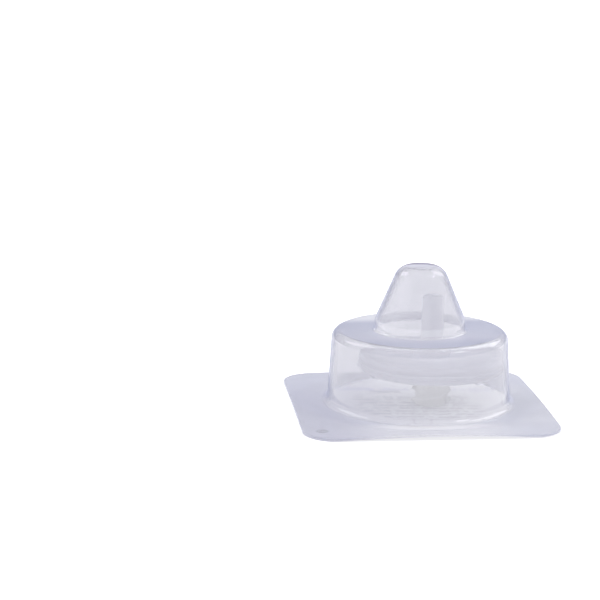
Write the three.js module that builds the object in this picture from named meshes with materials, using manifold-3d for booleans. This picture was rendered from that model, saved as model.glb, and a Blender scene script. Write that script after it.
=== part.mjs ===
// A sterile 25 mm syringe filter, sealed in its blister pack.
//
// The pack is a square sheet of lidding paper with a clear thermoformed film sealed on it. The film
// rises into a drafted drum, which houses the filter's disc, and a blunt cone, which houses its
// nozzle. The filter stands loose inside on its inlet. It is two welded polypropylene halves with a
// membrane clamped between them: the inlet half ends in a threaded female Luer socket, the outlet
// half in a male Luer nozzle.
//
// Millimetres, +Z up. The origin is the centre of the lid's underside, which the pack stands on.

import * as THREE from "three";
import { mergeVertices, toCreasedNormals } from "three/addons/utils/BufferGeometryUtils.js";
import Module from "manifold-3d";

const wasm = await Module();
wasm.setup();

// ---- Driving dimensions: the filter ----

const membraneRadius = 12.5;
const membraneThickness = 0.15;
const clampGap = 0.05; // on each side of the membrane
const chamberEdge = 0.6; // how far the clamping faces reach in over the membrane

const weldGap = 0.1; // round the tongue and at the seam
const tongueWidth = 0.6;
const tongueLength = 0.4;
const tongueInset = 0.6; // from the membrane's edge to the groove
const rimWall = 0.7; // outside the groove

const inletHeight = 6; // from the socket's mouth to where the disc begins
const inletPlate = 1.2; // the inlet half's thickness at the rim
const inletDish = 1.1; // how far its outer face falls towards the socket
const rimChamfer = 0.6;

const outletPlate = 1;
const supportHeight = 0.55; // ribs that hold the membrane off the outlet plate
const rimLift = 0.6; // the rim stands this far above the outlet plate
const rimLiftWidth = 1.5;
const rimStep = 0.25; // the rim's upper band is smaller by this radius
const rimStepHeight = 0.8; // above the seam
const rimStepRound = 0.2;
const rimTopRound = 0.35;

const luerTaper = 0.03; // of radius for each millimetre, which is the 6 % of a Luer cone
const socketMouthRadius = 2.135;
const barrelRadius = 3.15;
const threadRadius = 3.9;
const threadLead = 5;
const threadTurns = 0.55;
const threadStarts = 2;
const threadRootWidth = 1.2;
const threadCrestWidth = 0.6;
const threadFromMouth = 0.75; // to the middle of the thread's first section
const socketStepWidth = 0.6; // where the socket meets the plate
const socketStepLength = 0.4;

const nozzleLength = 10;
const nozzleTipRadius = 2;
const nozzleTipRound = 0.45;
const nozzleBoreRadius = 1;
const hubRadius = 3.6;
const hubHeight = 2.15;
const hubRound = 0.5;

const flowRibs = 10;
const flowRibWidth = 0.6;
const flowRibGap = 0.8; // between the ribs and the socket
const supportRings = 4;
const supportRingWidth = 0.7;
const supportChannels = 6;
const supportChannelWidth = 1.2;

// ---- Driving dimensions: the pack ----

const lidThickness = 0.2;
const filmThickness = 0.35;
const sealWidth = 5.3; // of the flange beside the drum, where it is narrowest on a centred sheet
const sheetCornerRadius = 6.5;
const cupOffset = new THREE.Vector2(0.67, 2.4); // the sheet is punched off the cup's centre

const drumClearance = 3.06; // all round the filter's rim when it stands in the middle
const drumDraft = THREE.MathUtils.degToRad(3.3);
const footFillet = 1.3;
const shoulderClearance = 4; // between the filter's rim and the film above it
const shoulderFillet = 1.8;
const collarRadius = 9.15; // the cone stands on a short, nearly upright collar
const collarHeight = 2.25;
const collarDraft = THREE.MathUtils.degToRad(3);
const neckFillet = 0.6;
const coneTopRadius = 4.55;
const coneTopFillet = 2.9;
const tipClearance = 5.7; // between the nozzle's tip and the film above it
const crownHeight = 0.5;
const crownMiddle = 0.4; // of the top's radius, where the domed crown's profile has a corner

// ---- Where the loose filter stands ----

const filterShift = new THREE.Vector2(2.3, -1.33); // from the cup's axis

// ---- Sizes that follow from those ----

// In the filter's own frame, whose origin is the middle of the socket's mouth.
const grooveInner = membraneRadius + tongueInset;
const grooveOuter = grooveInner + tongueWidth + 2 * weldGap;
const rimRadius = grooveOuter + rimWall;
const rimBottom = inletHeight + inletDish;
const seam = rimBottom + inletPlate;
const seatLevel = seam - membraneThickness - clampGap;
const membraneBottom = seatLevel + clampGap;
const membraneTop = membraneBottom + membraneThickness;
const clampLevel = membraneTop + clampGap;
const chamberRadius = membraneRadius - chamberEdge;
const outletCeiling = clampLevel + supportHeight;
const outletFace = outletCeiling + outletPlate;
const rimTop = outletFace + rimLift;
const nozzleFoot = outletFace + hubHeight;
const nozzleTip = nozzleFoot + nozzleLength;

// The chamber's floor runs beside the plate's outer face, down from the edge to the socket.
const dishSlope = inletDish / (rimRadius - rimChamfer - socketStepWidth - barrelRadius);
const floorAtEdge = rimBottom + inletPlate / 2;
const floorAt = (radius) => floorAtEdge - dishSlope * (chamberRadius - radius);
const floorAtSocket = floorAt(socketMouthRadius);

// In the pack's frame.
const filterFoot = lidThickness;
const flangeTop = lidThickness + filmThickness;
const shoulderTop = filterFoot + rimTop + shoulderClearance + filmThickness;
const coneTop = filterFoot + nozzleTip + tipClearance + filmThickness;
const drumSlope = Math.tan(drumDraft);
const drumRadiusAtRim = rimRadius + drumClearance + filmThickness;
const drumBaseRadius = drumRadiusAtRim + drumSlope * (filterFoot + rimBottom - flangeTop);
const drumTopRadius = drumBaseRadius - drumSlope * (shoulderTop - flangeTop);
const collarTopRadius = collarRadius - Math.tan(collarDraft) * collarHeight;
const sheetSide = 2 * (drumBaseRadius + footFillet + sealWidth);

// ---- How shapes are joined, and how finely round ones are cut ----

const joinDepth = 0.3; // how far one shape reaches into the next, so that they become one body

const packSegments = 56;
const discSegments = 56;
const luerSegments = 28;
const ringSegments = 36;
const filletStep = THREE.MathUtils.degToRad(20);

// ---- Materials ----

const materials = {
  film: new THREE.MeshStandardMaterial({
    color: 0xdfe2ee,
    roughness: 0.08,
    metalness: 0,
    transparent: true,
    opacity: 0.35,
    side: THREE.DoubleSide,
  }),
  paper: new THREE.MeshStandardMaterial({ color: 0xd6d9e6, roughness: 0.85, metalness: 0 }),
  polypropylene: new THREE.MeshStandardMaterial({ color: 0xdcdee4, roughness: 0.4, metalness: 0 }),
  membrane: new THREE.MeshStandardMaterial({ color: 0xf7f7f5, roughness: 0.95, metalness: 0 }),
};

// ---- Profiles ----

// A profile is a list of corners, [radius, height, fillet], and the fillet may be left out.

// The profile's points, with each fillet as an arc. No fillet takes more than it finds: it is
// limited to the straight that its neighbours leave.
function rounded(corners) {
  const points = corners.map(([radius, height]) => new THREE.Vector2(radius, height));
  const made = [];
  corners.forEach(([, , fillet = 0], i) => {
    const here = points[i];
    if (!fillet || i === 0 || i === corners.length - 1) {
      made.push(here.clone());
      return;
    }
    const arriving = here.clone().sub(points[i - 1]);
    const leaving = points[i + 1].clone().sub(here);
    const room = 0.48 * Math.min(arriving.length(), leaving.length());
    arriving.normalize();
    leaving.normalize();
    const turn = Math.atan2(arriving.cross(leaving), arriving.dot(leaving));
    const perRadius = Math.tan(Math.abs(turn) / 2);
    const radius = Math.min(fillet, room / perRadius);
    const start = here.clone().addScaledVector(arriving, -radius * perRadius);
    const inward = new THREE.Vector2(-arriving.y, arriving.x).multiplyScalar(Math.sign(turn));
    const centre = start.clone().addScaledVector(inward, radius);
    const steps = Math.max(2, Math.ceil(Math.abs(turn) / filletStep));
    for (let step = 0; step <= steps; step++) {
      made.push(start.clone().rotateAround(centre, (turn * step) / steps));
    }
  });
  return made;
}

// The same profile moved sideways by a distance, to the right of the way it runs. Fillets that bulge
// to that side grow and the others shrink, so a wall between the two has one thickness throughout.
function offset(corners, distance) {
  const points = corners.map(([radius, height]) => new THREE.Vector2(radius, height));
  const directions = points.slice(1).map((point, i) => point.clone().sub(points[i]).normalize());
  return corners.map(([, , fillet = 0], i) => {
    const before = directions[Math.max(i - 1, 0)];
    const after = directions[Math.min(i, directions.length - 1)];
    const turn = Math.atan2(before.cross(after), before.dot(after));
    const across = before.clone().add(after).normalize();
    const reach = distance / Math.cos(turn / 2);
    const moved = points[i].clone().add(new THREE.Vector2(across.y, -across.x).multiplyScalar(reach));
    const newFillet = fillet ? Math.max(fillet + Math.sign(turn) * distance, 0.05) : 0;
    return [moved.x, moved.y, newFillet];
  });
}

// ---- Solids ----

// A closed three.js geometry as a solid that can be joined and cut.
function solidOf(geometry) {
  const bare = geometry.clone();
  bare.deleteAttribute("normal");
  bare.deleteAttribute("uv");
  const merged = mergeVertices(bare);
  const corners = merged.index.array;
  const kept = [];
  for (let i = 0; i < corners.length; i += 3) {
    const [a, b, c] = corners.subarray(i, i + 3);
    if (a !== b && b !== c && c !== a) {
      kept.push(a, b, c);
    }
  }
  return new wasm.Manifold(
    new wasm.Mesh({
      numProp: 3,
      vertProperties: merged.attributes.position.array,
      triVerts: new Uint32Array(kept),
    }),
  );
}

// A closed profile turned about the Z axis. It runs up the axis side and down the outside.
function turned(points, segments) {
  const lathe = new THREE.LatheGeometry(points, segments);
  lathe.rotateX(Math.PI / 2);
  return solidOf(lathe);
}

function ring(inner, outer, bottom, top, segments) {
  const corners = [
    [inner, bottom],
    [outer, bottom],
    [outer, top],
    [inner, top],
    [inner, bottom],
  ];
  return turned(rounded(corners), segments);
}

function block(length, width, height, centre, turn = 0) {
  const box = new THREE.BoxGeometry(length, width, height);
  box.translate(centre.x, centre.y, centre.z);
  box.rotateZ(turn);
  return solidOf(box);
}

function meshOf(solid, name, material) {
  const made = solid.getMesh();
  const geometry = new THREE.BufferGeometry();
  geometry.setAttribute("position", new THREE.BufferAttribute(made.vertProperties, 3));
  geometry.setIndex(new THREE.BufferAttribute(made.triVerts, 1));
  const mesh = new THREE.Mesh(toCreasedNormals(geometry, THREE.MathUtils.degToRad(35)), material);
  mesh.name = name;
  return mesh;
}

// ---- The filter ----

// One start of the Luer thread: a trapezoid swept up a helix on the barrel, closed at both ends.
function threadRidge(startAngle) {
  const steps = Math.ceil(threadTurns * luerSegments);
  const sunk = barrelRadius - joinDepth;
  const section = [
    [sunk, -threadRootWidth / 2],
    [threadRadius, -threadCrestWidth / 2],
    [threadRadius, threadCrestWidth / 2],
    [sunk, threadRootWidth / 2],
  ];
  const positions = [];
  for (let step = 0; step <= steps; step++) {
    const turns = (threadTurns * step) / steps;
    const angle = startAngle + 2 * Math.PI * turns;
    for (const [radius, height] of section) {
      const z = threadFromMouth + height + threadLead * turns;
      positions.push(radius * Math.cos(angle), radius * Math.sin(angle), z);
    }
  }
  const indices = [0, 1, 2, 0, 2, 3];
  for (let step = 0; step < steps; step++) {
    for (let side = 0; side < 4; side++) {
      const a = 4 * step + side;
      const b = 4 * step + ((side + 1) % 4);
      indices.push(a, a + 4, b + 4, a, b + 4, b);
    }
  }
  const end = 4 * steps;
  indices.push(end, end + 2, end + 1, end, end + 3, end + 2);
  const geometry = new THREE.BufferGeometry();
  geometry.setAttribute("position", new THREE.Float32BufferAttribute(positions, 3));
  geometry.setIndex(indices);
  return solidOf(geometry);
}

// Ribs that spread the flow under the membrane. They follow the dished floor and sink into it.
function flowRibFan() {
  const ribInner = barrelRadius + flowRibGap;
  const ribOuter = chamberRadius + joinDepth;
  const ribTop = seatLevel - clampGap;
  const sink = inletPlate / 4;
  const room = turned(
    rounded([
      [ribInner, floorAt(ribInner) - sink],
      [ribOuter, floorAt(ribOuter) - sink],
      [ribOuter, ribTop],
      [ribInner, ribTop],
      [ribInner, floorAt(ribInner) - sink],
    ]),
    discSegments,
  );
  let fan = null;
  for (let rib = 0; rib < flowRibs; rib++) {
    const centre = new THREE.Vector3(chamberRadius / 2, 0, ribTop);
    const made = block(chamberRadius, flowRibWidth, 2 * inletHeight, centre, (2 * Math.PI * rib) / flowRibs);
    fan = fan ? fan.add(made) : made;
  }
  return fan.intersect(room);
}

// The inlet half: a dished plate with ribs that spread the flow, and the threaded female socket.
function inletHousing() {
  const plateInner = barrelRadius - joinDepth;
  const plate = turned(
    rounded([
      [plateInner, inletHeight],
      [barrelRadius + socketStepWidth, inletHeight],
      [rimRadius - rimChamfer, rimBottom],
      [rimRadius, rimBottom + rimChamfer],
      [rimRadius, seam],
      [grooveOuter, seam],
      [grooveOuter, seam - tongueLength - weldGap],
      [grooveInner, seam - tongueLength - weldGap],
      [grooveInner, seatLevel],
      [chamberRadius, seatLevel],
      [chamberRadius, floorAtEdge],
      [plateInner, floorAtSocket],
      [plateInner, inletHeight],
    ]),
    discSegments,
  );
  const barrel = turned(
    rounded([
      [socketMouthRadius, 0],
      [barrelRadius, 0],
      [barrelRadius, floorAtSocket],
      [socketMouthRadius - luerTaper * floorAtSocket, floorAtSocket],
      [socketMouthRadius, 0],
    ]),
    luerSegments,
  );
  const collar = ring(
    barrelRadius - joinDepth,
    barrelRadius + socketStepWidth,
    inletHeight - socketStepLength,
    inletHeight + joinDepth,
    luerSegments,
  );
  let half = plate.add(barrel).add(collar);
  for (let start = 0; start < threadStarts; start++) {
    half = half.add(threadRidge((2 * Math.PI * start) / threadStarts));
  }
  return half.add(flowRibFan());
}

// Rings that hold the membrane off the outlet plate, cut through by channels that lead to the bore.
function membraneSupport() {
  const spacing = chamberRadius / (supportRings + 0.5);
  let grid = null;
  for (let i = 1; i <= supportRings; i++) {
    const middle = spacing * i;
    const inner = middle - supportRingWidth / 2;
    const outer = middle + supportRingWidth / 2;
    const made = ring(inner, outer, clampLevel, outletCeiling + joinDepth, ringSegments);
    grid = grid ? grid.add(made) : made;
  }
  for (let i = 0; i < supportChannels; i++) {
    const centre = new THREE.Vector3(chamberRadius / 2, 0, (clampLevel + outletCeiling) / 2);
    const turn = (2 * Math.PI * (i + 0.5)) / supportChannels;
    grid = grid.subtract(block(chamberRadius, supportChannelWidth, supportHeight, centre, turn));
  }
  return grid;
}

// The outlet half: a plate with a raised rim, the tongue that is welded into the inlet half, the
// membrane's support, and the male nozzle.
function outletHousing() {
  const upperRadius = rimRadius - rimStep;
  const tongueInner = grooveInner + weldGap;
  const tongueOuter = tongueInner + tongueWidth;
  const seamTop = seam + weldGap;
  const plate = turned(
    rounded([
      [nozzleBoreRadius, outletCeiling],
      [chamberRadius, outletCeiling],
      [chamberRadius, clampLevel],
      [tongueInner, clampLevel],
      [tongueInner, seam - tongueLength],
      [tongueOuter, seam - tongueLength],
      [tongueOuter, seamTop],
      [rimRadius, seamTop],
      [rimRadius, seam + rimStepHeight, rimStepRound],
      [upperRadius, seam + rimStepHeight],
      [upperRadius, rimTop, rimTopRound],
      [upperRadius - rimLiftWidth, rimTop, rimTopRound],
      [upperRadius - rimLiftWidth - rimLift, outletFace],
      [nozzleBoreRadius, outletFace],
      [nozzleBoreRadius, outletCeiling],
    ]),
    discSegments,
  );
  const nozzleFootRadius = nozzleTipRadius + luerTaper * nozzleLength;
  const nozzle = turned(
    rounded([
      [nozzleBoreRadius, outletCeiling],
      [hubRadius, outletCeiling + joinDepth],
      [hubRadius, nozzleFoot, hubRound],
      [nozzleFootRadius, nozzleFoot],
      [nozzleTipRadius, nozzleTip, nozzleTipRound],
      [nozzleBoreRadius, nozzleTip],
      [nozzleBoreRadius, outletCeiling],
    ]),
    luerSegments,
  );
  return plate.add(nozzle).add(membraneSupport());
}

function membraneDisc() {
  const corners = [
    [0, membraneBottom],
    [membraneRadius, membraneBottom],
    [membraneRadius, membraneTop],
    [0, membraneTop],
  ];
  return turned(rounded(corners), discSegments);
}

function syringeFilter() {
  const filter = new THREE.Group();
  filter.add(meshOf(inletHousing(), "inlet_housing", materials.polypropylene));
  filter.add(meshOf(membraneDisc(), "membrane", materials.membrane));
  filter.add(meshOf(outletHousing(), "outlet_housing", materials.polypropylene));
  filter.position.set(cupOffset.x + filterShift.x, cupOffset.y + filterShift.y, filterFoot);
  return filter;
}

// ---- The pack ----

// The punched outline that the lid and the film's flange share.
function sheetOutline() {
  const half = sheetSide / 2;
  const straight = half - sheetCornerRadius;
  const outline = new THREE.Shape();
  for (let corner = 0; corner < 4; corner++) {
    const start = (corner * Math.PI) / 2;
    const toCorner = new THREE.Vector2(straight, straight).rotateAround(new THREE.Vector2(), start);
    outline.absarc(toCorner.x, toCorner.y, sheetCornerRadius, start, start + Math.PI / 2, false);
  }
  return outline;
}

function plateOf(outline, thickness, bottom) {
  const options = { depth: thickness, bevelEnabled: false, curveSegments: 8 };
  const plate = new THREE.ExtrudeGeometry(outline, options);
  plate.translate(0, 0, bottom);
  return solidOf(plate);
}

// The film: its outer face is one profile from the flange up to the crown, and its inner face is the
// same profile set in by the film's thickness.
function blisterFilm() {
  const outside = [
    [drumBaseRadius + footFillet + joinDepth, flangeTop],
    [drumBaseRadius, flangeTop, footFillet],
    [drumTopRadius, shoulderTop, shoulderFillet],
    [collarRadius, shoulderTop, neckFillet],
    [collarTopRadius, shoulderTop + collarHeight, collarHeight],
    [coneTopRadius, coneTop - crownHeight, coneTopFillet],
    [coneTopRadius * crownMiddle, coneTop - crownHeight * crownMiddle ** 2],
    [0, coneTop],
  ];
  const inside = offset(outside, -filmThickness);
  inside[inside.length - 1][0] = 0;
  const profile = rounded(inside).reverse().concat(rounded(outside));
  const cup = turned(profile, packSegments).translate([cupOffset.x, cupOffset.y, 0]);
  const flange = sheetOutline();
  const opening = new THREE.Path();
  opening.absarc(cupOffset.x, cupOffset.y, drumBaseRadius + footFillet, 0, 2 * Math.PI, true);
  flange.holes.push(opening);
  return cup.add(plateOf(flange, filmThickness, lidThickness));
}

function lidSheet() {
  return plateOf(sheetOutline(), lidThickness, 0);
}

const pack = new THREE.Group();
pack.add(meshOf(lidSheet(), "lid_sheet", materials.paper));
pack.add(meshOf(blisterFilm(), "blister_film", materials.film));
pack.add(syringeFilter());

export default pack;
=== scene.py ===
# %% [markdown]
# # A sterile syringe filter in its blister pack
#
# A syringe filter is two welded halves of natural polypropylene with a membrane clamped between
# them. This one is sold sterile, so it stands loose inside a clear formed blister that is sealed
# on a square of lidding paper. The CAD model gives every size. What is left for Blender is what
# the eye tells them apart by: clear film that bends light and mirrors the studio, fibrous paper,
# and milky plastic that light soaks into.
#
# The frame comes first. It is the CAD model in metres, fixed, and each piece made below has to
# fit it.

# %% Load the frame
import math

import bmesh
import bpy
from mathutils import Matrix, Vector


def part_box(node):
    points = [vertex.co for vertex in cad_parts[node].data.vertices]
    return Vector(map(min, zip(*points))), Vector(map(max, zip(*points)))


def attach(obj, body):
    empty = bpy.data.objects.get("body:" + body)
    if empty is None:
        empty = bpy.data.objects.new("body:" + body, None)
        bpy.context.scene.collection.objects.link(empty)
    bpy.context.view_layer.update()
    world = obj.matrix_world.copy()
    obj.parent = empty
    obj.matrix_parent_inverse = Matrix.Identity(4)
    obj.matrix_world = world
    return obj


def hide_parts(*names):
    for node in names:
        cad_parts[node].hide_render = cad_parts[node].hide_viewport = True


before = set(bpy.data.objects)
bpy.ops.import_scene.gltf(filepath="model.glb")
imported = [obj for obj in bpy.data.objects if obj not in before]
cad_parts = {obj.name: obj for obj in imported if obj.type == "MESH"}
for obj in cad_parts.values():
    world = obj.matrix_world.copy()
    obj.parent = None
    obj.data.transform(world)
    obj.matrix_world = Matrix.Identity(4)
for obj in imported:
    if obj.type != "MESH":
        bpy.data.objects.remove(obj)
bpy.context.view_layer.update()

MM = 0.001
print("nodes:", sorted(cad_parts))

# %% [markdown]
# ## Sizes
#
# The side of the sheet and the heights come from the boxes of the CAD nodes. The rest are the
# pack's own sizes: the draft of the drum's wall, the fillets that a forming tool leaves, and the
# film's thickness. They are kept in millimetres and turned to metres only where a mesh is made.

# %% Sizes of the pack, in millimetres
film_low, film_high = (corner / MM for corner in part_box("blister_film"))
sheet_side = film_high.x - film_low.x
sheet_corner = 6.5
lid_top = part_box("lid_sheet")[1].z / MM
film_thickness = 0.35
flange_top = lid_top + film_thickness
cup_x, cup_y = 0.67, 2.4
drum_foot = 18.4
drum_top = 17.56
shoulder = 15.05
foot_fillet = 1.3
shoulder_fillet = 1.8
collar = 9.15
collar_height = 2.25
collar_top = 9.03
neck_fillet = 0.6
cone_top = 4.55
cone_top_fillet = 2.9
crown = film_high.z
crown_rise = 0.5
print("sheet side:", round(sheet_side, 2), "crown:", round(crown, 2))

# %% [markdown]
# ## Helpers for materials
#
# Colours are given in sRGB, but shaders work in linear light, so one function turns a hex
# code into what a socket takes. Another adds a shader node with its options and its links, which
# keeps each material short enough to read.

# %% Helpers for materials


def colour(code):
    """An sRGB hex code as the linear red, green, blue and alpha of a socket."""
    made = []
    for i in (1, 3, 5):
        share = int(code[i : i + 2], 16) / 255
        made.append(share / 12.92 if share <= 0.04045 else ((share + 0.055) / 1.055) ** 2.4)
    return (*made, 1.0)


def add_node(tree, kind, sockets=None, **options):
    """Adds a node. sockets maps an input's name or number to a value or to another node's output."""
    node = tree.nodes.new(kind)
    for option, value in options.items():
        setattr(node, option, value)
    for socket, value in (sockets or {}).items():
        if isinstance(value, bpy.types.NodeSocket):
            tree.links.new(value, node.inputs[socket])
        else:
            node.inputs[socket].default_value = value
    return node


def new_material(name):
    """An empty node material, its tree and its output node."""
    material = bpy.data.materials.new(name)
    material.use_nodes = True
    material.node_tree.nodes.clear()
    output = material.node_tree.nodes.new("ShaderNodeOutputMaterial")
    return material, material.node_tree, output


print("white is", colour("#ffffff"))

# %% [markdown]
# ## The camera
#
# A camera on a tripod looks down on the pack from a little to its left, through a long lens, so
# the drum's two ends look almost alike. It is aimed beside the pack, which therefore stands low
# and to the right in the picture. It could be aimed at the pack and then shifted. Here its
# direction is given as two angles, and a small roll is the tripod's own tilt.

# %% Camera
camera_place = Vector((-63.56, -379.47, 104.78)) * MM
camera_azimuth = math.radians(-5.983)
camera_elevation = math.radians(12.26)
camera_roll = math.radians(0.636)

camera_data = bpy.data.cameras.new("camera")
camera_data.lens = 118.8
camera_data.sensor_width = 36
camera_data.clip_start = 0.01
camera_data.clip_end = 20
camera = bpy.data.objects.new("camera", camera_data)
bpy.context.scene.collection.objects.link(camera)
back = Vector(
    (
        math.sin(camera_azimuth) * math.cos(camera_elevation),
        -math.cos(camera_azimuth) * math.cos(camera_elevation),
        math.sin(camera_elevation),
    )
)
turn = (-back).to_track_quat("-Z", "Y").to_matrix().to_4x4()
camera.matrix_world = (
    Matrix.Translation(camera_place) @ turn @ Matrix.Rotation(camera_roll, 4, "Z")
)
bpy.context.scene.camera = camera
print("camera is", round(camera_place.length / MM), "mm from the pack")

# %% [markdown]
# ## Helpers for modelling
#
# Everything here is modelled with the tools of edit mode. Each one acts on what is selected, so
# the helpers first deselect everything, then pick edges by their place. Another helper tidies a
# finished piece: its place goes into its mesh, and it is smooth-shaded except at real corners.

# %% Helpers for selecting


def select_alone(*pieces):
    """Selects these pieces and nothing else. The first becomes the active one."""
    bpy.ops.object.select_all(action="DESELECT")
    for piece in pieces:
        piece.select_set(True)
    bpy.context.view_layer.objects.active = pieces[0]


def start_editing(piece):
    """Opens one piece in edit mode with nothing selected."""
    select_alone(piece)
    bpy.ops.object.mode_set(mode="EDIT")
    bpy.ops.mesh.select_all(action="DESELECT")


def select_edges(piece, test):
    """Selects the edges whose two ends both pass the test, and says how many."""
    bpy.ops.mesh.select_mode(type="EDGE")
    bpy.ops.mesh.select_all(action="DESELECT")
    mesh = bmesh.from_edit_mesh(piece.data)
    found = 0
    for edge in mesh.edges:
        if all(test(vertex.co / MM) for vertex in edge.verts):
            edge.select_set(True)
            found += 1
    bmesh.update_edit_mesh(piece.data)
    return found


def near(value, target, slack=0.02):
    """Whether two sizes in millimetres are the same, apart from rounding."""
    return abs(value - target) < slack


def from_cup(place):
    """How far a place is from the cup's axis, in millimetres."""
    return math.hypot(place.x - cup_x, place.y - cup_y)


print("cup's axis, from the sheet's middle:", cup_x, cup_y, "mm")

# %% Helper for finishing a piece


def finish_piece(piece, name, material, smooth_angle=40):
    """Names a piece, puts its place in its mesh, shades it and gives it its material."""
    if bpy.context.mode != "OBJECT":
        bpy.ops.object.mode_set(mode="OBJECT")
    select_alone(piece)
    bpy.ops.object.transform_apply(location=True, rotation=True, scale=True)
    bpy.ops.object.shade_smooth_by_angle(angle=math.radians(smooth_angle))
    piece.name = name
    piece.data.name = name
    piece.data.materials.clear()
    piece.data.materials.append(material)


# %% [markdown]
# ## The clear film
#
# The blister is drawn from polyester film, PETG, about a third of a millimetre thick. Head on it
# is as clear as glass. Its faces mirror the studio at a slant, it is faintly milky, and forming
# leaves it wavy.
#
# The waves could be moved vertices, but they are so shallow that a bump shows them as well. They
# have three sizes: a slow swell, a ripple of about a millimetre, and a crackle at the top of the
# cone, where the film is stretched most. The crackle breaks a lamp's reflection into sparks. The
# real one is finer, and is drawn as coarse as it has to be to show.

# %% The film's waves
crackle_start, crackle_full = 23.2, 24.8


def film_waves(tree, place, height):
    """A normal bent by swell, ripple and crackle, each laid on the one before."""
    stretched = add_node(
        tree,
        "ShaderNodeMapRange",
        {"Value": height, "From Min": crackle_start * MM, "From Max": crackle_full * MM},
    ).outputs["Result"]
    # size in mm, detail, roughness, strength, depth in mm
    waves = [
        (7.0, 1.0, 0.4, 0.3, 0.25),
        (1.1, 2.0, 0.6, 0.5, 0.05),
        (0.55, 1.0, 0.6, stretched, 0.07),
    ]
    normal = None
    for size, detail, roughness, strength, depth in waves:
        noise = add_node(
            tree,
            "ShaderNodeTexNoise",
            {"Vector": place, "Scale": 1 / (size * MM), "Detail": detail, "Roughness": roughness},
        )
        sockets = {"Height": noise.outputs["Fac"], "Strength": strength, "Distance": depth * MM}
        if normal is not None:
            sockets["Normal"] = normal
        normal = add_node(tree, "ShaderNodeBump", sockets).outputs["Normal"]
    return normal


print("crackle above", crackle_start, "mm")

# %% [markdown]
# The body of the film is glass with about a quarter of matt plastic in it. Half of the matt part
# sends light back, as haze does, and half lets it through scattered, as milk does. One glass
# shader with a high roughness would be simpler, but it would blur the filter behind it. So would
# a much larger share of haze, because the render's noise filter then takes the film for a solid
# wall.
#
# On the drum's left wall the haze is darker: painted shade.

# %% The film's body
haze_share = 0.27


def film_body(tree, normal, shaded_left_wall):
    """Clear film with its faint milkiness, its haze greyed by painted shade on the drum's left wall.
    """
    glass = add_node(
        tree,
        "ShaderNodeBsdfPrincipled",
        {
            "Base Color": colour("#fbfbfd"),
            "Roughness": 0.03,
            "IOR": 1.57,
            "Transmission Weight": 1.0,
            "Normal": normal,
        },
    )
    # Painted shade: the haze is darker on the drum's left wall.
    tone = add_node(
        tree,
        "ShaderNodeMix",
        {0: shaded_left_wall, 6: colour("#dadae4"), 7: colour("#cacad5")},
        data_type="RGBA",
    ).outputs[2]
    haze = add_node(
        tree,
        "ShaderNodeBsdfPrincipled",
        {"Base Color": tone, "Roughness": 0.5, "Normal": normal},
    )
    milk = add_node(tree, "ShaderNodeBsdfTranslucent", {"Color": tone, "Normal": normal})
    matt = add_node(
        tree, "ShaderNodeMixShader", {0: 0.5, 1: haze.outputs[0], 2: milk.outputs[0]}
    )
    return add_node(
        tree, "ShaderNodeMixShader", {0: haze_share, 1: glass.outputs[0], 2: matt.outputs[0]}
    ).outputs[0]


print("haze share:", haze_share)

# %% [markdown]
# Seen at a slant, the eye looks through much more plastic, and the film shows its own blue grey.
# That tone changes from place to place, and much of the change is painted reflection and shade:
#
# - the shoulder is blue grey, and a painted dark reflection darkens its front and the front of
#   the cone's foot;
# - the back of the shoulder is painted pale, a painted light reflection;
# - the sealed flange is cloudy with air caught in the seal, and painted shade darkens its left
#   part; at its front left a painted dark glint stands for a small dent that the mesh doesn't have;
# - the flange's front edge is painted pale, a painted light reflection, that turns to a painted
#   blue reflection on the right;
# - the crown of the cone is pale, with a dark line round its far edge.
#
# Each zone is a stretch of one axis over which one tone takes over from another. A painted
# attribute could carry this too, but zones stay right when the mesh is changed.

# %% Where the film's tone changes, in millimetres along an axis
film_zones = {
    "back": ("Y", 8.0, 13.0, "SMOOTHSTEP"),
    "front": ("Y", -4.0, -11.0, "SMOOTHSTEP"),
    "over_the_seal": ("Z", 0.7, 2.0, "LINEAR"),
    "left": ("X", -6.0, -19.0, "SMOOTHSTEP"),
    "left_side": ("X", -6.0, -16.0, "SMOOTHSTEP"),
    "not_back": ("Y", 18.0, 4.0, "SMOOTHSTEP"),
    "front_edge": ("Y", -14.0, -18.0, "SMOOTHSTEP"),
    "right": ("X", 4.0, 22.0, "SMOOTHSTEP"),
    "cone": ("Z", 16.6, 18.0, "LINEAR"),
    "crown": ("Z", 26.9, 27.6, "SMOOTHSTEP"),
}
shoulder_start = 13.5
# Place of the painted dark glint of a small dent, in millimetres.
dent_glint = (-21.3, -19.6)
dent_inner, dent_outer = 0.8, 1.5
far_edge_slant = (0.78, 0.86)


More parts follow.
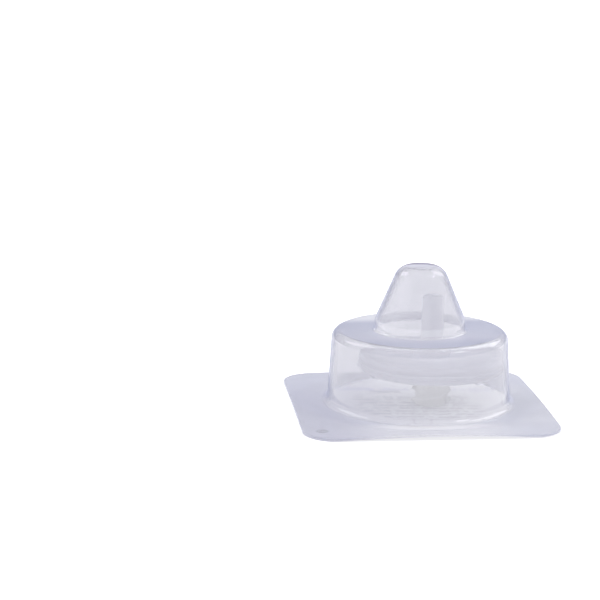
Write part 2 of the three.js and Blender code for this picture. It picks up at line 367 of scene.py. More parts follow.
def film_masks(tree, place, slant):
    """A mask for each zone of the film, by name."""
    axes = add_node(tree, "ShaderNodeSeparateXYZ", {0: place})
    masks = {}
    for name, (axis, start, end, easing) in film_zones.items():
        masks[name] = add_node(
            tree,
            "ShaderNodeMapRange",
            {"Value": axes.outputs[axis], "From Min": start * MM, "From Max": end * MM},
            interpolation_type=easing,
        ).outputs["Result"]
    masks["raised"] = add_node(
        tree,
        "ShaderNodeMath",
        {0: axes.outputs["Z"], 1: shoulder_start * MM},
        operation="GREATER_THAN",
    ).outputs[0]
    for name, one, other in (
        ("front_dark_reflection", "front", "raised"),
        ("left_painted_shade", "left", "not_back"),
        ("shaded_left_wall", "left_side", "over_the_seal"),
    ):
        masks[name] = add_node(
            tree, "ShaderNodeMath", {0: masks[one], 1: masks[other]}, operation="MULTIPLY"
        ).outputs[0]
    from_dent = add_node(
        tree,
        "ShaderNodeVectorMath",
        {0: place, 1: (dent_glint[0] * MM, dent_glint[1] * MM, flange_top * MM)},
        operation="DISTANCE",
    )
    masks["dent_glint"] = add_node(
        tree,
        "ShaderNodeMapRange",
        {
            "Value": from_dent.outputs["Value"],
            "From Min": dent_outer * MM,
            "From Max": dent_inner * MM,
        },
        interpolation_type="SMOOTHSTEP",
    ).outputs["Result"]
    masks["far_edge"] = add_node(
        tree,
        "ShaderNodeMapRange",
        {"Value": slant, "From Min": far_edge_slant[0], "From Max": far_edge_slant[1]},
    ).outputs["Result"]
    return masks


print("zones:", ", ".join(film_zones))

# %% The film's tone at a slant
# name of the result, mask, tone where the mask is 0, tone where it is 1
film_tones = [
    # Painted light reflection: the back of the shoulder is paler.
    ("wall", "back", "#b0b4cd", "#ecedf5"),
    # Painted dark reflection on the front of the shoulder and of the cone's foot.
    ("wall", "front_dark_reflection", "wall", "#7c86b0"),
    # Painted reflection on the flange's front edge: pale, and blue towards the right.
    ("edge", "right", "#f6f6fb", "#bcc0d6"),
    ("flange", "front_edge", "#cfd2e3", "edge"),
    # Painted shade on the left of the flange.
    ("flange", "left_painted_shade", "flange", "#b9bad1"),
    # Painted dark glint where a small dent lies.
    ("flange", "dent_glint", "flange", "#181a38"),
    ("film", "over_the_seal", "flange", "wall"),
    ("crown", "far_edge", "#dadae8", "#7e7894"),
    ("film", "crown", "film", "crown"),
]


def slant_tone(tree, masks):
    """The film's own colour where it is seen at a slant."""
    tones = {}
    for name, mask, under, over in film_tones:
        ends = [colour(end) if end[0] == "#" else tones[end] for end in (under, over)]
        tones[name] = add_node(
            tree,
            "ShaderNodeMix",
            {0: masks[mask], 6: ends[0], 7: ends[1]},
            data_type="RGBA",
        ).outputs[2]
    return tones["film"]


print("steps of tone:", len(film_tones))

# %% [markdown]
# How much of that tone shows depends on the slant, which the Layer Weight node gives from 0, head
# on, to 1, along the surface. On the cone it starts sooner, so that the cone's outline is a soft
# band and not a thin line.
#
# Last comes light. A glass shader throws a black shadow, because a lamp's ray is bent away from
# what it aimed at. Real film shades almost nothing, so for a lamp's ray and for scattered light
# the film is simply not there.

# %% Film material
# slant where the tone starts, slant where it is full, largest share
film_slant = (0.62, 0.88, 0.7)
cone_slant = (0.45, 0.86, 0.8)


def slant_share(tree, masks, slant):
    """How much of the film's own tone shows, from the slant that it is seen at."""
    shares = []
    for start, end, most in (film_slant, cone_slant):
        share = add_node(
            tree,
            "ShaderNodeMapRange",
            {"Value": slant, "From Min": start, "From Max": end, "To Min": 0.0, "To Max": most},
            interpolation_type="SMOOTHSTEP",
        )
        shares.append(share.outputs["Result"])
    on_cone = add_node(
        tree, "ShaderNodeMath", {0: masks["cone"], 1: shares[1]}, operation="MULTIPLY"
    )
    return add_node(
        tree, "ShaderNodeMath", {0: shares[0], 1: on_cone.outputs[0]}, operation="MAXIMUM"
    ).outputs[0]


def clear_film_material():
    """Thermoformed PETG: clear head on, blue grey at a slant, open to lamps."""
    material, tree, output = new_material("thermoformed_petg_film")
    place = add_node(tree, "ShaderNodeTexCoord").outputs["Object"]
    height = add_node(tree, "ShaderNodeSeparateXYZ", {0: place}).outputs["Z"]
    slant = add_node(tree, "ShaderNodeLayerWeight", {"Blend": 0.5}).outputs["Facing"]
    normal = film_waves(tree, place, height)
    masks = film_masks(tree, place, slant)
    rim = add_node(
        tree,
        "ShaderNodeBsdfPrincipled",
        {"Base Color": slant_tone(tree, masks), "Roughness": 0.5, "Normal": normal},
    )
    body = film_body(tree, normal, masks["shaded_left_wall"])
    surface = add_node(
        tree,
        "ShaderNodeMixShader",
        {0: slant_share(tree, masks, slant), 1: body, 2: rim.outputs[0]},
    )
    not_there = add_node(tree, "ShaderNodeBsdfTransparent", {"Color": colour("#ffffff")})
    path = add_node(tree, "ShaderNodeLightPath")
    for kind_of_ray in ("Is Diffuse Ray", "Is Shadow Ray"):
        surface = add_node(
            tree,
            "ShaderNodeMixShader",
            {0: path.outputs[kind_of_ray], 1: surface.outputs[0], 2: not_there.outputs[0]},
        )
    tree.links.new(surface.outputs[0], output.inputs["Surface"])
    return material


clear_film = clear_film_material()
print("made", clear_film.name)

# %% [markdown]
# ### The cup
#
# The cup is a body of revolution, so it starts as one circle on the flange. Each extrude and
# scale draws the next ring, up the drum, over the shoulder and up the cone to the crown. Spin
# could turn a profile in one go, but rings are easy to pick again for the fillets.

# %% The cup's rings
round_steps = 128
flange_ring = drum_foot + 2
rings = [
    (drum_foot, flange_top),
    (drum_top, shoulder),
    (collar, shoulder),
    (collar_top, shoulder + collar_height),
    (cone_top, crown - crown_rise),
]
for share in (0.6, 0.48, 0.36, 0.24, 0.12):
    rings.append((cone_top * share, crown - crown_rise * share**2.2))
rings.append((0.2, crown))

bpy.ops.object.select_all(action="DESELECT")
bpy.ops.mesh.primitive_circle_add(
    vertices=round_steps,
    radius=flange_ring * MM,
    location=(cup_x * MM, cup_y * MM, flange_top * MM),
)
film = bpy.context.object
bpy.ops.object.transform_apply(location=True, rotation=True, scale=True)
bpy.ops.object.mode_set(mode="EDIT")
bpy.ops.mesh.select_mode(type="EDGE")
bpy.ops.mesh.select_all(action="SELECT")
radius, height = flange_ring, flange_top
for next_radius, next_height in rings:
    bpy.ops.mesh.extrude_edges_move(
        TRANSFORM_OT_translate={"value": (0, 0, (next_height - height) * MM)}
    )
    bpy.ops.transform.resize(
        value=(next_radius / radius, next_radius / radius, 1),
        center_override=(cup_x * MM, cup_y * MM, next_height * MM),
    )
    radius, height = next_radius, next_height
bpy.ops.mesh.merge(type="CENTER")
print("cup:", len(bmesh.from_edit_mesh(film.data).faces), "faces")

# %% [markdown]
# A forming tool has no sharp edges. Each ring where the profile turns is bevelled into a round
# one. The bevel's width is measured along the wall, so it is the fillet's radius times the
# tangent of half the turn.

# %% The cup's fillets
# radius and height of the ring, fillet, turn in degrees, steps
fillets = [
    (drum_foot, flange_top, foot_fillet, 86.7, 8),
    (drum_top, shoulder, shoulder_fillet, 86.7, 10),
    (collar, shoulder, neck_fillet, 87.0, 8),
    (collar_top, shoulder + collar_height, collar_height, 20.1, 4),
    (cone_top, crown - crown_rise, cone_top_fillet, 58.2, 10),
]
for ring_radius, ring_height, fillet, turn_angle, steps in fillets:
    found = select_edges(
        film,
        lambda co, r=ring_radius, h=ring_height: near(co.z, h) and near(from_cup(co), r),
    )
    width = fillet * math.tan(math.radians(turn_angle) / 2)
    bpy.ops.mesh.bevel(
        offset=width * MM, offset_type="OFFSET", segments=steps, profile=0.5, affect="EDGES"
    )
    print("ring of", found, "edges rounded, width", round(width, 2), "mm")
bpy.ops.object.mode_set(mode="OBJECT")

# %% [markdown]
# ### The flange
#
# The flange and the lid share one punched outline. It is a plane whose four corners are rounded
# by a vertex bevel, with its straights divided so that the outline has as many points as the cup
# has round it. A bridge then joins the two with even strips. One big face with a hole would be
# quicker, but it couldn't bend later.

# %% The punched sheet
corner_steps = 12
straight_cuts = round_steps // 4 - corner_steps - 1


def punched_sheet(height, hole):
    """The sheet between its punched outline and a round hole about the cup's axis."""
    bpy.ops.object.select_all(action="DESELECT")
    bpy.ops.mesh.primitive_plane_add(size=sheet_side * MM, location=(0, 0, height * MM))
    piece = bpy.context.object
    bpy.ops.object.transform_apply(location=True, rotation=True, scale=True)
    start_editing(piece)
    bpy.ops.mesh.select_all(action="SELECT")
    bpy.ops.mesh.bevel(
        offset=sheet_corner * MM, segments=corner_steps, profile=0.5, affect="VERTICES"
    )
    straight = sheet_side / 2 - sheet_corner
    mesh = bmesh.from_edit_mesh(piece.data)
    bpy.ops.mesh.select_mode(type="EDGE")
    bpy.ops.mesh.select_all(action="DESELECT")
    for edge in mesh.edges:
        edge.select_set(edge.calc_length() / MM > straight)
    bmesh.update_edit_mesh(piece.data)
    bpy.ops.mesh.subdivide(number_cuts=straight_cuts)
    bpy.ops.mesh.select_all(action="SELECT")
    bpy.ops.mesh.delete(type="ONLY_FACE")
    bpy.ops.mesh.primitive_circle_add(
        vertices=round_steps,
        radius=hole * MM,
        location=(cup_x * MM, cup_y * MM, height * MM),
    )
    bpy.ops.mesh.select_all(action="SELECT")
    bpy.ops.mesh.bridge_edge_loops(number_cuts=7, interpolation="LINEAR")
    bpy.ops.object.mode_set(mode="OBJECT")
    return piece


print("cuts in each straight:", straight_cuts)

# %% The flange is joined to the cup


def face_up(piece):
    """Turns the faces of an open sheet so that they look up, and closes its doubled seams."""
    start_editing(piece)
    bpy.ops.mesh.select_all(action="SELECT")
    bpy.ops.mesh.remove_doubles(threshold=0.001 * MM)
    bpy.ops.mesh.normals_make_consistent(inside=False)
    bpy.ops.object.mode_set(mode="OBJECT")
    if sum(face.normal.z for face in piece.data.polygons) < 0:
        start_editing(piece)
        bpy.ops.mesh.select_all(action="SELECT")
        bpy.ops.mesh.flip_normals()
        bpy.ops.object.mode_set(mode="OBJECT")


flange = punched_sheet(flange_top, flange_ring)
select_alone(film, flange)
bpy.ops.object.join()
face_up(film)
print("film:", len(film.data.polygons), "faces")

# %% [markdown]
# ### The warp
#
# A sealed sheet is never quite flat. Heat from the seal shrinks the film, and the middles of the
# sheet's edges lift off the table by a few tenths of a millimetre while its corners stay down.
# A lattice could bend both pieces. A short function is exact, and gives the film and the paper
# the same pull, so that they stay together.

# %% The sheet's warp, in millimetres
flat_margin = 0.9
warp_width = 5
corner_start = 20
front_lift = 0.6
back_lift = 0.25
side_lift = 0.35


def lift(place):
    """How far a place on the sheet has risen."""
    outward = max(0.0, (from_cup(place) - drum_foot - flat_margin) / warp_width)
    reach = min(1.0, outward) ** 1.5
    along_x = math.cos(math.pi / 2 * min(1.0, abs(place.x) / corner_start))
    along_y = math.cos(math.pi / 2 * min(1.0, abs(place.y) / corner_start))
    most = front_lift if place.y < 0 else back_lift
    half = sheet_side / 2
    edge = most * along_x * abs(place.y) / half + side_lift * along_y * abs(place.x) / half
    return reach * edge


def warp(piece):
    """Lifts every vertex of a sheet to its place on the warped pack."""
    for vertex in piece.data.vertices:
        vertex.co.z += lift(vertex.co / MM) * MM
    piece.data.update()


warp(film)
print("front edge lifts", round(lift(Vector((0, -sheet_side / 2, 0))), 2), "mm")

# %% [markdown]
# ### The film's wall
#
# Up to here the film is a skin. Solidify gives it a second skin inside, at the real distance, and
# closes the outline. Glass needs both skins to bend light as the real wall does. The CAD node
# that the film stands for is hidden from now on.

# %% The film's thickness


def thicken(piece, thickness, even):
    """Gives an open sheet a solid wall below it. An even wall keeps its thickness round bends."""
    select_alone(piece)
    wall = piece.modifiers.new("thickness", "SOLIDIFY")
    wall.thickness = thickness * MM
    wall.offset = -1
    wall.use_even_offset = even
    bpy.ops.object.modifier_apply(modifier=wall.name)


thicken(film, film_thickness, even=True)
finish_piece(film, "film", clear_film)
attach(film, "root")
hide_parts("blister_film")
print("film:", len(film.data.polygons), "faces")

# %% [markdown]
# ## The lid
#
# Lidding paper for sterile packs is spun from fine plastic fibres and pressed flat. It is soft
# white with faint clouds where the fibres lie thicker, and painted shade greys it towards its
# left side. The fibres are a few hundredths of a millimetre wide, too fine to show, so their swirl
# is drawn at half a millimetre.
#
# The underside is printed: a heading in pale violet, rows of grey, an outlined box and a line in
# red. This library's parts carry no words, so each line is a plain bar. An image texture could
# hold the print, but bars made from the place on the sheet stay sharp at any zoom.

# %% The print's bars, in millimetres
# lowest and highest x, lowest and highest y
print_tilt = 5.0
heading_bar = (-17.0, 16.5, 10.85, 12.75)
text_bars = [
    (-9.0, -2.5, 8.8, 10.5),
    (-13.0, 13.0, 5.05, 5.95),
    (-12.6, 11.0, 2.95, 3.85),
    (-13.0, 12.2, 0.85, 1.75),
    (-11.4, 13.0, -1.25, -0.35),
    (-12.2, 12.6, -3.35, -2.45),
    (-10.8, 13.0, -5.45, -4.55),
    (-9.5, 12.5, -7.55, -6.65),
    (-7.0, 11.5, -9.65, -8.75),
]
red_bar = (-5.8, 15.0, -18.6, -16.6)
box_bars = [
    (-1.6, 12.2, -11.2, -10.9),
    (-1.6, 12.2, -15.1, -14.8),
    (-1.6, -1.3, -15.1, -10.9),
    (11.9, 12.2, -15.1, -10.9),
    (1.8, 2.1, -15.1, -10.9),
]


def bars_mask(tree, spot, bars):
    """A mask that is 1 on these bars."""
    total = None
    for low_x, high_x, low_y, high_y in bars:
        sides = []
        for axis, low, high in (("X", low_x, high_x), ("Y", low_y, high_y)):
            side = add_node(
                tree,
                "ShaderNodeMath",
                {0: spot.outputs[axis], 1: (low + high) / 2 * MM, 2: (high - low) / 2 * MM},
                operation="COMPARE",
            )
            sides.append(side.outputs[0])
        bar = add_node(
            tree, "ShaderNodeMath", {0: sides[0], 1: sides[1]}, operation="MULTIPLY"
        ).outputs[0]
        if total is None:
            total = bar
        else:
            total = add_node(
                tree, "ShaderNodeMath", {0: total, 1: bar}, operation="MAXIMUM"
            ).outputs[0]
    return total


print("bars:", 2 + len(text_bars) + len(box_bars))

# %% [markdown]
# The long bars are broken up so that they look like rows of words. Each row is cut into short
# cells, and a cell is left blank where a noise that has one value for the whole cell is low.
#
# The ink lies on the underside, where the face's normal points down. A quarter of it shows
# through to the upper face.

# %% The print's words and ink
word_cell = 0.9
row_pitch = 2.1
row_start = 0.8
blank_share = 0.2
ink_below = 0.92
ink_above = 0.25


def word_mask(tree, spot):
    """A mask that is 1 where a cell of a row is printed."""
    cell = add_node(
        tree, "ShaderNodeMath", {0: spot.outputs["X"], 1: word_cell * MM}, operation="DIVIDE"
    )
    row = add_node(
        tree,
        "ShaderNodeMath",
        {0: spot.outputs["Y"], 1: 1 / (row_pitch * MM), 2: row_start / row_pitch},
        operation="MULTIPLY_ADD",
    )
    whole_cell = add_node(tree, "ShaderNodeMath", {0: cell.outputs[0]}, operation="FLOOR")
    whole_row = add_node(tree, "ShaderNodeMath", {0: row.outputs[0]}, operation="ROUND")
    cell_place = add_node(
        tree, "ShaderNodeCombineXYZ", {"X": whole_cell.outputs[0], "Y": whole_row.outputs[0]}
    )
    chance = add_node(
        tree, "ShaderNodeTexWhiteNoise", {"Vector": cell_place.outputs[0]}, noise_dimensions="2D"
    )
    return add_node(
        tree,
        "ShaderNodeMath",
        {0: chance.outputs["Value"], 1: blank_share},
        operation="GREATER_THAN",
    ).outputs[0]


def printed_colour(tree, place, bare):
    """The paper's own colour with the ink laid over it."""
    turned = add_node(
        tree,
        "ShaderNodeMapping",
        {"Vector": place, "Rotation": (0, 0, math.radians(print_tilt))},
    )
    spot = add_node(tree, "ShaderNodeSeparateXYZ", {0: turned.outputs["Vector"]})
    words = word_mask(tree, spot)
    surface = add_node(tree, "ShaderNodeNewGeometry")
    upward = add_node(tree, "ShaderNodeSeparateXYZ", {0: surface.outputs["True Normal"]})
    ink_share = add_node(
        tree,
        "ShaderNodeMapRange",
        {
            "Value": upward.outputs["Z"],
            "From Min": -0.6,
            "From Max": -0.4,
            "To Min": ink_below,
            "To Max": ink_above,
        },
    ).outputs["Result"]
    printed = bare
    for bars, in_words, ink in (
        ([heading_bar], True, "#8e94d0"),
        (text_bars, True, "#3a3c48"),
        ([red_bar], True, "#b8505e"),
        (box_bars, False, "#3a3c48"),
    ):
        cover = ink_share
        masks = [bars_mask(tree, spot, bars)] + ([words] if in_words else [])
        for mask in masks:
            cover = add_node(
                tree, "ShaderNodeMath", {0: cover, 1: mask}, operation="MULTIPLY"
            ).outputs[0]
        printed = add_node(
            tree, "ShaderNodeMix", {0: cover, 6: printed, 7: colour(ink)}, data_type="RGBA"
        ).outputs[2]
    return printed


print("rows of words every", row_pitch, "mm")

# %% [markdown]
# The bare paper's tone comes from two noises, large clouds and the swirl of the fibres, and the
# swirl is also its bump. An image of paper would repeat or stretch somewhere; noise doesn't.

# %% The bare paper's tone
cloud_size = 3.5
fibre_size = 0.5
# Painted shade greys the paper between these places along X, in millimetres: full at the first, none
# at the second.
shaded_side, unshaded_side = -22, 9


def paper_fibres(tree, place):
    """A swirl like pressed fibres."""
    return add_node(
        tree,
        "ShaderNodeTexNoise",
        {
            "Vector": place,
            "Scale": 1 / (fibre_size * MM),
            "Detail": 3.0,
            "Roughness": 0.6,
            "Distortion": 2.5,
        },
    ).outputs["Fac"]


def paper_tone(tree, place, fibres):
    """Soft white, cloudy, and greyed towards the left by painted shade."""
    clouds = add_node(
        tree,
        "ShaderNodeTexNoise",
        {"Vector": place, "Scale": 1 / (cloud_size * MM), "Detail": 3.0, "Roughness": 0.55},
    )
    both = add_node(
        tree,
        "ShaderNodeMix",
        {0: 0.4, 2: clouds.outputs["Fac"], 3: fibres},
        data_type="FLOAT",
    )
    tone = add_node(tree, "ShaderNodeValToRGB", {"Fac": both.outputs[0]})
    tone.color_ramp.elements[0].position = 0.32
    tone.color_ramp.elements[0].color = colour("#f2f2f7")
    tone.color_ramp.elements[1].position = 0.68
    tone.color_ramp.elements[1].color = colour("#fafafd")
    axes = add_node(tree, "ShaderNodeSeparateXYZ", {0: place})
    # Painted shade: the sheet greys towards its left side.
    paper_painted_shade = add_node(
        tree,
        "ShaderNodeMapRange",
        {
            "Value": axes.outputs["X"],
            "From Min": shaded_side * MM,
            "From Max": unshaded_side * MM,
            "To Min": 1.0,
            "To Max": 0.0,
        },
        interpolation_type="SMOOTHSTEP",
    )
    return add_node(
        tree,
        "ShaderNodeMix",
        {0: paper_painted_shade.outputs["Result"], 6: tone.outputs["Color"], 7: colour("#d0d0dc")},
        data_type="RGBA",
    ).outputs[2]


print("clouds of", cloud_size, "mm, fibres of", fibre_size, "mm")

# %% [markdown]
# White things in a white room light each other many times over, and a render that follows so many
# bounces is slow and grainy. So where scattered light meets the paper, the paper answers at once
# with the light that a lit sheet gives off. The eye still sees the paper's own lit surface. The
# floor does the same further down.

# %% Paper material
paper_glow = 0.62


def paper_material():
    """Spun fibre sheet: cloudy soft white, matt, faintly rough, printed below."""
    material, tree, output = new_material("spun_fibre_lidding_paper")
    place = add_node(tree, "ShaderNodeTexCoord").outputs["Object"]
    fibres = paper_fibres(tree, place)
    bump = add_node(
        tree, "ShaderNodeBump", {"Height": fibres, "Strength": 0.5, "Distance": 0.03 * MM}
    )
    bare = paper_tone(tree, place, fibres)
    sheet = add_node(
        tree,
        "ShaderNodeBsdfPrincipled",
        {
            "Base Color": printed_colour(tree, place, bare),
            "Roughness": 0.75,
            "Normal": bump.outputs["Normal"],
        },
    )
    lit = add_node(
        tree, "ShaderNodeEmission", {"Color": colour("#f4f4f8"), "Strength": paper_glow}
    )
    path = add_node(tree, "ShaderNodeLightPath")
    surface = add_node(
        tree,
        "ShaderNodeMixShader",
        {0: path.outputs["Is Diffuse Ray"], 1: sheet.outputs[0], 2: lit.outputs[0]},
    )
    tree.links.new(surface.outputs[0], output.inputs["Surface"])
    return material


paper = paper_material()
print("made", paper.name)

# %% [markdown]
# The lid starts as the flange did, and a grid fill closes the round hole with even squares. It
# stays two hundredths of a millimetre under the film, because two faces in one place flicker.

# %% The lid sheet
paper_gap = 0.02
paper_top = lid_top - paper_gap
lid = punched_sheet(paper_top, flange_ring)
start_editing(lid)
select_edges(lid, lambda co: near(from_cup(co), flange_ring))
bpy.ops.mesh.fill_grid(span=round_steps // 4)
bpy.ops.object.mode_set(mode="OBJECT")
face_up(lid)
warp(lid)
thicken(lid, paper_top, even=False)
finish_piece(lid, "lid", paper)
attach(lid, "root")
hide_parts("lid_sheet")
print("lid:", len(lid.data.polygons), "faces")

# %% [markdown]
# ## The filter
#
# The two halves are moulded from natural polypropylene, which is milky: light goes a little way
# in, scatters and comes out again. Subsurface scattering would show this, but it is slow under a
# film. Half of a translucent shader mixed with a plain satin surface looks nearly the same.
#
# The halves are one part to the eye, yet not one tone. Painted shade makes the disc greyer than
# the nozzle, and painted light makes the socket below it the whitest.

# %% The plastic's tone
# height where the zone below starts, height where it is full
disc_top = (13.0, 12.0)
socket_top = (7.6, 7.0)


def polypropylene_tone(tree, place):
    """Milky white with faint flow clouds, painted shade in the disc and painted light in the socket.
    """
    height = add_node(tree, "ShaderNodeSeparateXYZ", {0: place}).outputs["Z"]
    flow = add_node(
        tree,
        "ShaderNodeTexNoise",
        {"Vector": place, "Scale": 1 / (4 * MM), "Detail": 2.0, "Roughness": 0.5},
    )
    ramp = add_node(tree, "ShaderNodeValToRGB", {"Fac": flow.outputs["Fac"]})
    ramp.color_ramp.elements[0].position = 0.3
    ramp.color_ramp.elements[0].color = colour("#f0f0fa")
    ramp.color_ramp.elements[1].position = 0.7
    ramp.color_ramp.elements[1].color = colour("#f8f8ff")
    tone = ramp.outputs["Color"]
    # Painted shade greys the disc; painted light whitens the socket below it.
    for (start, end), below in ((disc_top, "#e2e2ec"), (socket_top, "#ffffff")):
        zone = add_node(
            tree,
            "ShaderNodeMapRange",
            {"Value": height, "From Min": start * MM, "From Max": end * MM},
        )
        tone = add_node(
            tree,
            "ShaderNodeMix",
            {0: zone.outputs["Result"], 6: tone, 7: colour(below)},
            data_type="RGBA",
        ).outputs[2]
    return tone


print("disc from", disc_top[1], "mm down, socket from", socket_top[1], "mm down")

# %% Polypropylene material
pass_on = 0.93


def polypropylene_material():
    """Natural polypropylene, injection moulded: milky, with a satin gloss and a faint grain."""
    material, tree, output = new_material("natural_polypropylene")
    place = add_node(tree, "ShaderNodeTexCoord").outputs["Object"]
    tone = polypropylene_tone(tree, place)
    grain = add_node(
        tree, "ShaderNodeTexNoise", {"Vector": place, "Scale": 1 / (0.25 * MM), "Detail": 1.0}
    )
    bump = add_node(
        tree,
        "ShaderNodeBump",
        {"Height": grain.outputs["Fac"], "Strength": 0.2, "Distance": 0.01 * MM},
    )
    satin = add_node(
        tree,
        "ShaderNodeBsdfPrincipled",
        {"Base Color": tone, "Roughness": 0.12, "IOR": 1.49, "Normal": bump.outputs["Normal"]},
    )
    glow = add_node(tree, "ShaderNodeBsdfTranslucent", {"Color": tone})
    milky = add_node(
        tree, "ShaderNodeMixShader", {0: 0.5, 1: satin.outputs[0], 2: glow.outputs[0]}
    )
    # Scattered light mostly passes on through the milky plastic, and a lamp's ray always does.
    through = add_node(tree, "ShaderNodeBsdfTransparent", {"Color": colour("#ffffff")})
    mostly_through = add_node(
        tree, "ShaderNodeMixShader", {0: pass_on, 1: milky.outputs[0], 2: through.outputs[0]}
    )
    path = add_node(tree, "ShaderNodeLightPath")
    surface = milky
    for kind_of_ray, answer in (
        ("Is Diffuse Ray", mostly_through),
        ("Is Shadow Ray", through),
    ):
        surface = add_node(
            tree,
            "ShaderNodeMixShader",
            {0: path.outputs[kind_of_ray], 1: surface.outputs[0], 2: answer.outputs[0]},
        )
    tree.links.new(surface.outputs[0], output.inputs["Surface"])
    return material


polypropylene = polypropylene_material()
print("made", polypropylene.name)

# %% [markdown]
# The CAD halves have the right shape already, down to the thread and the taper. Their meshes are
# loose triangles, which shade flat. So each half is copied, the copy's triangles are merged, and
# the copy stands for its node.

# %% The filter's halves


def smoothed_copy(node_name, name, material):
    """A copy of a CAD node, merged so that it shades smoothly, that stands for it."""
    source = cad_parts[node_name]
    bpy.ops.object.select_all(action="DESELECT")
    piece = bpy.data.objects.new(name, source.data.copy())
    bpy.context.scene.collection.objects.link(piece)
    start_editing(piece)
    bpy.ops.mesh.select_all(action="SELECT")
    bpy.ops.mesh.remove_doubles(threshold=0.0005 * MM)
    bpy.ops.object.mode_set(mode="OBJECT")
    finish_piece(piece, name, material, 30)
    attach(piece, "root")
    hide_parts(node_name)
    return piece


inlet = smoothed_copy("inlet_housing", "inlet_half", polypropylene)
outlet = smoothed_copy("outlet_housing", "outlet_half", polypropylene)
print("filter halves:", len(inlet.data.polygons), len(outlet.data.polygons))

# %% [markdown]
# The membrane is a cast sheet of PVDF, a matt white foam whose pores are far below a millimetre.
# They are drawn at a third of a millimetre so that they show at all. It is clamped in the halves
# and only its shade reaches the eye, so the CAD node stays and just gets its material.

# %% Membrane material


def membrane_material():
    """Cast PVDF: matt, chalky white, with fine pores."""
    material, tree, output = new_material("cast_pvdf_membrane")
    place = add_node(tree, "ShaderNodeTexCoord").outputs["Object"]
    pores = add_node(
        tree, "ShaderNodeTexNoise", {"Vector": place, "Scale": 1 / (0.3 * MM), "Detail": 2.0}
    )
    bump = add_node(
        tree,
        "ShaderNodeBump",
        {"Height": pores.outputs["Fac"], "Strength": 0.3, "Distance": 0.01 * MM},
    )
    tone = add_node(tree, "ShaderNodeValToRGB", {"Fac": pores.outputs["Fac"]})
    tone.color_ramp.elements[0].color = colour("#f0f0ee")
    tone.color_ramp.elements[1].color = colour("#fafaf8")
    sheet = add_node(
        tree,
        "ShaderNodeBsdfPrincipled",
        {"Base Color": tone.outputs["Color"], "Roughness": 0.9, "Normal": bump.outputs["Normal"]},
    )
    through = add_node(tree, "ShaderNodeBsdfTransparent", {"Color": colour("#f8f8fa")})
    path = add_node(tree, "ShaderNodeLightPath")
    surface = add_node(
        tree,
        "ShaderNodeMixShader",
        {0: path.outputs["Is Shadow Ray"], 1: sheet.outputs[0], 2: through.outputs[0]},
    )
    tree.links.new(surface.outputs[0], output.inputs["Surface"])
    return material


membrane = membrane_material()
membrane_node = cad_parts["membrane"]
membrane_node.data.materials.clear()
membrane_node.data.materials.append(membrane)
print("made", membrane.name)

# %% [markdown]
# ## The studio
#
# The floor is matt white and goes on past the picture. A lamp bright enough to make all of it
# full white would burn out the pack, so the floor gives off a little light of its own. Only the
# eye sees that light, straight, mirrored or through the film. It grows away from the pack, so
# that the pack's soft shadow stays. The floor is open from below, so that the pack's underside
# can be looked at.

# %% Floor material
shadow_reach = 50
white_reach = 400
near_glow = 0.3
far_glow = 0.8


def floor_material():
    """Matt white paint that glows for the eye, more so away from the pack."""
    material, tree, output = new_material("white_studio_floor")
    paint = add_node(tree, "ShaderNodeBsdfDiffuse", {"Color": colour("#f4f4f6")})
    path = add_node(tree, "ShaderNodeLightPath")
    by_eye = path.outputs["Is Camera Ray"]
    for kind_of_ray in ("Is Glossy Ray", "Is Transmission Ray"):
        by_eye = add_node(
            tree, "ShaderNodeMath", {0: by_eye, 1: path.outputs[kind_of_ray]}, operation="MAXIMUM"
        ).outputs[0]
    place = add_node(tree, "ShaderNodeTexCoord").outputs["Object"]
    distance = add_node(tree, "ShaderNodeVectorMath", {0: place}, operation="LENGTH")
    sweep = add_node(
        tree,
        "ShaderNodeMapRange",
        {
            "Value": distance.outputs["Value"],
            "From Min": shadow_reach * MM,
            "From Max": white_reach * MM,
            "To Min": near_glow,
            "To Max": far_glow,
        },
    )
    strength = add_node(
        tree, "ShaderNodeMath", {0: by_eye, 1: sweep.outputs["Result"]}, operation="MULTIPLY"
    )
    glow = add_node(
        tree, "ShaderNodeEmission", {"Color": colour("#ffffff"), "Strength": strength.outputs[0]}
    )
    top = add_node(tree, "ShaderNodeAddShader", {0: paint.outputs[0], 1: glow.outputs[0]})
    # As on the paper, scattered light gets its answer at once.
    lit = add_node(tree, "ShaderNodeEmission", {"Color": colour("#f0f0f4"), "Strength": 1.0})
    from_above = add_node(
        tree,
        "ShaderNodeMixShader",
        {0: path.outputs["Is Diffuse Ray"], 1: top.outputs[0], 2: lit.outputs[0]},
    )
    from_below = add_node(tree, "ShaderNodeBsdfTransparent")
    side = add_node(tree, "ShaderNodeNewGeometry")
    surface = add_node(
        tree,
        "ShaderNodeMixShader",
        {0: side.outputs["Backfacing"], 1: from_above.outputs[0], 2: from_below.outputs[0]},
    )
    tree.links.new(surface.outputs[0], output.inputs["Surface"])
    return material


print("floor's glow:", near_glow, "near the pack,", far_glow, "far off")

# %% Floor
bpy.ops.object.select_all(action="DESELECT")
bpy.ops.mesh.primitive_plane_add(size=8, location=(1, 0, -0.05 * MM))
floor = bpy.context.object
bpy.ops.object.transform_apply(location=True, rotation=True, scale=True)
floor.name = "floor"
floor.data.materials.append(floor_material())
print("floor:", [round(side, 2) for side in floor.dimensions[:2]], "m")

# %% [markdown]
# The studio's walls are a soft blue grey that pales towards the ceiling, with a pale screen on
# either side. Clear plastic has almost no colour of its own, so this is what draws it: its faces
# mirror the walls where they are seen at a slant. A reflection met inside the film counts half,
# or the film's back faces would grey what lies behind them.
#
# To scattered light the world is an even pale fill, and behind the picture it is plain white.
# These colours are amounts of light, so they are given in linear light and not as hex codes.

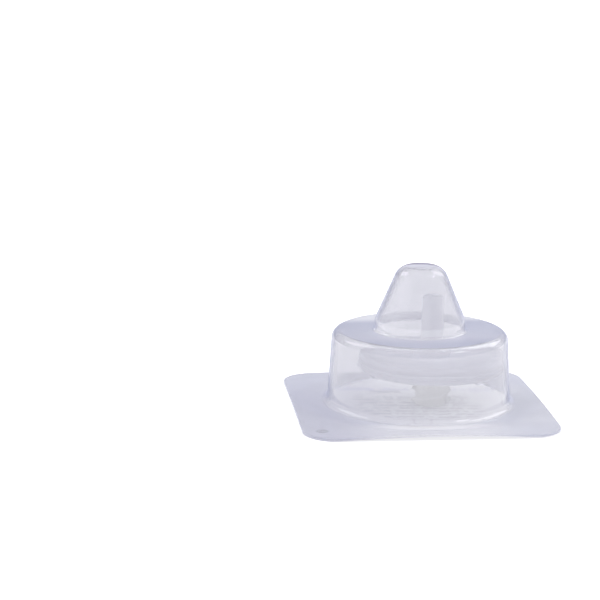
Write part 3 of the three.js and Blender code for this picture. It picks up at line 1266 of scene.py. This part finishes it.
# %% World
dim_wall = (0.36, 0.37, 0.46, 1)
mid_wall = (0.4, 0.41, 0.5, 1)
ceiling = (0.85, 0.86, 0.92, 1)
side_screen = (0.9, 0.9, 0.96, 1)
fill_light = (0.98, 0.98, 1.0, 1)
fill_strength = 0.9

world = bpy.data.worlds.new("soft_studio")
bpy.context.scene.world = world
world.use_nodes = True
tree = world.node_tree
tree.nodes.clear()
output = tree.nodes.new("ShaderNodeOutputWorld")
direction = add_node(tree, "ShaderNodeTexCoord").outputs["Generated"]
axes = add_node(tree, "ShaderNodeSeparateXYZ", {0: direction})
walls = add_node(tree, "ShaderNodeValToRGB", {"Fac": axes.outputs["Z"]})
ramp = walls.color_ramp
ramp.elements[0].position = 0.0
ramp.elements[0].color = dim_wall
ramp.elements[1].position = 1.0
ramp.elements[1].color = ceiling
ramp.elements.new(0.4).color = mid_wall
sideways = add_node(tree, "ShaderNodeMath", {0: axes.outputs["X"]}, operation="ABSOLUTE")
screen = add_node(
    tree,
    "ShaderNodeMapRange",
    {"Value": sideways.outputs[0], "From Min": 0.6, "From Max": 0.95},
    interpolation_type="SMOOTHSTEP",
)
studio = add_node(
    tree,
    "ShaderNodeMix",
    {0: screen.outputs["Result"], 6: walls.outputs["Color"], 7: side_screen},
    data_type="RGBA",
)
mirrored = add_node(tree, "ShaderNodeBackground", {"Color": studio.outputs[2], "Strength": 1.0})
fill = add_node(tree, "ShaderNodeBackground", {"Color": fill_light, "Strength": fill_strength})
white = add_node(tree, "ShaderNodeBackground", {"Color": (1, 1, 1, 1), "Strength": 1.0})
print("world:", world.name)

# %% Who sees which world
path = add_node(tree, "ShaderNodeLightPath")
unscattered = add_node(
    tree, "ShaderNodeMath", {0: path.outputs["Diffuse Depth"], 1: 0.5}, operation="LESS_THAN"
)
straight_on = add_node(
    tree,
    "ShaderNodeMath",
    {0: path.outputs["Is Camera Ray"], 1: path.outputs["Is Transmission Ray"]},
    operation="MAXIMUM",
)
white_share = add_node(
    tree,
    "ShaderNodeMath",
    {0: straight_on.outputs[0], 1: unscattered.outputs[0]},
    operation="MULTIPLY",
)
reflected = add_node(
    tree, "ShaderNodeMath", {0: path.outputs["Glossy Depth"], 1: 0.5}, operation="GREATER_THAN"
)
reflected_alone = add_node(
    tree,
    "ShaderNodeMath",
    {0: reflected.outputs[0], 1: unscattered.outputs[0]},
    operation="MULTIPLY",
)
inside_film = add_node(
    tree,
    "ShaderNodeMapRange",
    {
        "Value": path.outputs["Transmission Depth"],
        "From Min": 0.0,
        "From Max": 1.0,
        "To Min": 1.0,
        "To Max": 0.5,
    },
)
mirror_share = add_node(
    tree,
    "ShaderNodeMath",
    {0: reflected_alone.outputs[0], 1: inside_film.outputs["Result"]},
    operation="MULTIPLY",
)
plain = add_node(
    tree, "ShaderNodeMixShader", {0: white_share.outputs[0], 1: fill.outputs[0], 2: white.outputs[0]}
)
seen = add_node(
    tree,
    "ShaderNodeMixShader",
    {0: mirror_share.outputs[0], 1: plain.outputs[0], 2: mirrored.outputs[0]},
)
tree.links.new(seen.outputs[0], output.inputs["Surface"])
print("world has", len(tree.nodes), "nodes")

# %% [markdown]
# Four soft lamps stand round the table. Two large ones behind the pack, left and right, give the
# long reflections on the shoulder. A small one at the front right makes the sparks on the cone,
# and a weak one at the front left fills in. Sun lamps would light it as evenly, but they are
# points in a reflection, and the shoulder's highlights need a lamp with a real size.

# %% Lamps
lamp_distance = 0.5
aim = Vector((0, 0, 10 * MM))


def soft_lamp(name, azimuth, elevation, size, radiance):
    """A rectangular lamp aimed at the pack. Azimuth 0 is the front and 90 the pack's right."""
    a, e = math.radians(azimuth), math.radians(elevation)
    way = Vector((math.sin(a) * math.cos(e), -math.cos(a) * math.cos(e), math.sin(e)))
    data = bpy.data.lights.new(name, "AREA")
    data.shape = "RECTANGLE"
    data.size, data.size_y = size
    data.energy = radiance * math.pi * size[0] * size[1]
    lamp = bpy.data.objects.new(name, data)
    bpy.context.scene.collection.objects.link(lamp)
    turn = (-way).to_track_quat("-Z", "Y").to_matrix().to_4x4()
    lamp.matrix_world = Matrix.Translation(way * lamp_distance + aim) @ turn
    print(name, "power", round(data.energy, 2), "W")


soft_lamp("left_lamp", -122, 42, (0.24, 0.28), 1.7)
soft_lamp("right_lamp", 122, 40, (0.28, 0.32), 2.0)
soft_lamp("small_lamp", 64, 50, (0.12, 0.12), 4.0)
soft_lamp("front_lamp", -70, 32, (0.34, 0.3), 0.3)

# %% [markdown]
# ## The last step
#
# The picture is shown with the standard view, so that a colour comes out as it was written.

# %% Picture settings
bpy.context.scene.view_settings.view_transform = "Standard"
